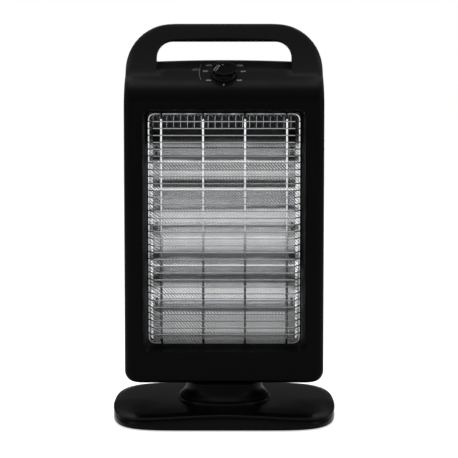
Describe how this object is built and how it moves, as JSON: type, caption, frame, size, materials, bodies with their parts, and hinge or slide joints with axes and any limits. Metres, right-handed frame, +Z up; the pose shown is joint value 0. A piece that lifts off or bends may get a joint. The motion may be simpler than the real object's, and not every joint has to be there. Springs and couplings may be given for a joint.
{
  "type": "infrared heater",
  "caption": "Free-standing quartz infrared heater: upright head with carrying handle, rotary switch, wire guard and embossed reflector, turning on a low crowned base.",
  "frame": {"origin": "on the floor under the swivel axis, which is the centre of the base", "axes": "+Z up along the swivel axis; the heater faces -Y, towards the room; +X is its right side seen from the front"},
  "size_m": [0.3038, 0.206, 0.538],
  "materials": {
    "black_plastic": "satin black",
    "knob_plastic": "satin black",
    "inner_plastic": "matte black",
    "white_plastic": "matte",
    "foot_rubber": "matte",
    "lead_sleeve": "matte",
    "chromed_wire": "polished",
    "bright_aluminium": "bright, embossed",
    "lamp_ceramic": "matte",
    "quartz_glass": "clear",
    "filament_wire": "dull",
    "zinc_steel": "zinc plated"
  },
  "bodies": {
    "base": {"base_cover": "black_plastic", "base_plate": "inner_plastic", "foot_front_left": "foot_rubber", "foot_front_right": "foot_rubber", "foot_rear_left": "foot_rubber", "foot_rear_right": "foot_rubber", "base_screw_front_left": "zinc_steel", "base_screw_front_right": "zinc_steel", "base_screw_rear_left": "zinc_steel", "base_screw_rear_right": "zinc_steel", "slot_bracket": "zinc_steel", "slot_bracket_screw": "zinc_steel", "tip_switch_housing": "white_plastic", "tip_spring": "zinc_steel", "cord_bush": "foot_rubber", "swivel_washer": "white_plastic"},
    "head": {"swivel_neck": "black_plastic", "retaining_ring": "zinc_steel", "ring_screw_1": "zinc_steel", "ring_screw_2": "zinc_steel", "neck_screw_1": "zinc_steel", "neck_screw_2": "zinc_steel", "neck_screw_3": "zinc_steel", "neck_screw_4": "zinc_steel", "oscillation_motor": "zinc_steel", "motor_screw_1": "zinc_steel", "motor_screw_2": "zinc_steel", "front_housing": "black_plastic", "rear_housing": "black_plastic", "housing_screw_1": "zinc_steel", "housing_screw_2": "zinc_steel", "housing_screw_3": "zinc_steel", "housing_screw_4": "zinc_steel", "housing_screw_5": "zinc_steel", "housing_screw_6": "zinc_steel", "wire_guard": "chromed_wire", "reflector": "bright_aluminium", "lamp_holder_left": "zinc_steel", "lamp_holder_right": "zinc_steel", "quartz_tube_1": "quartz_glass", "quartz_tube_2": "quartz_glass", "quartz_tube_3": "quartz_glass", "lamp_cap_left_1": "lamp_ceramic", "lamp_cap_left_2": "lamp_ceramic", "lamp_cap_left_3": "lamp_ceramic", "lamp_cap_right_1": "lamp_ceramic", "lamp_cap_right_2": "lamp_ceramic", "lamp_cap_right_3": "lamp_ceramic", "filament_1": "filament_wire", "filament_2": "filament_wire", "filament_3": "filament_wire", "heat_shield": "zinc_steel", "thermal_cutout": "zinc_steel", "rotary_switch": "white_plastic", "lead_left": "lead_sleeve", "lead_right": "lead_sleeve"},
    "crank": {"crank_arm": "inner_plastic"},
    "plunger": {"tip_plunger": "inner_plastic"},
    "knob": {"control_knob": "knob_plastic", "switch_spindle": "zinc_steel"}
  },
  "joints": [
    {"name": "head_swivel", "type": "hinge", "parent": "base", "child": "head", "pos_m": [0, 0, 0.0289], "axis": [0, 0, 1], "range_deg": [-35, 35]},
    {"name": "crank_spin", "type": "hinge", "parent": "head", "child": "crank", "pos_m": [0, 0.016, 0.0175], "axis": [0, 0, 1], "range_deg": [-126, 126]},
    {"name": "knob_turn", "type": "hinge", "parent": "head", "child": "knob", "pos_m": [0, -0.01641, 0.4675], "axis": [0, -0.5678, 0.8231], "range_deg": [0, 270]},
    {"name": "tip_plunger_slide", "type": "slide", "parent": "base", "child": "plunger", "axis": [0, 0, 1], "range_m": [-0.004, 0], "stiffness_N_per_m": 250, "springref_m": -0.008, "deforming": ["tip_spring"]}
  ],
  "couplings": [
    {"joint": "crank_spin", "follows": "head_swivel", "ratio": -3.5714}
  ]
}
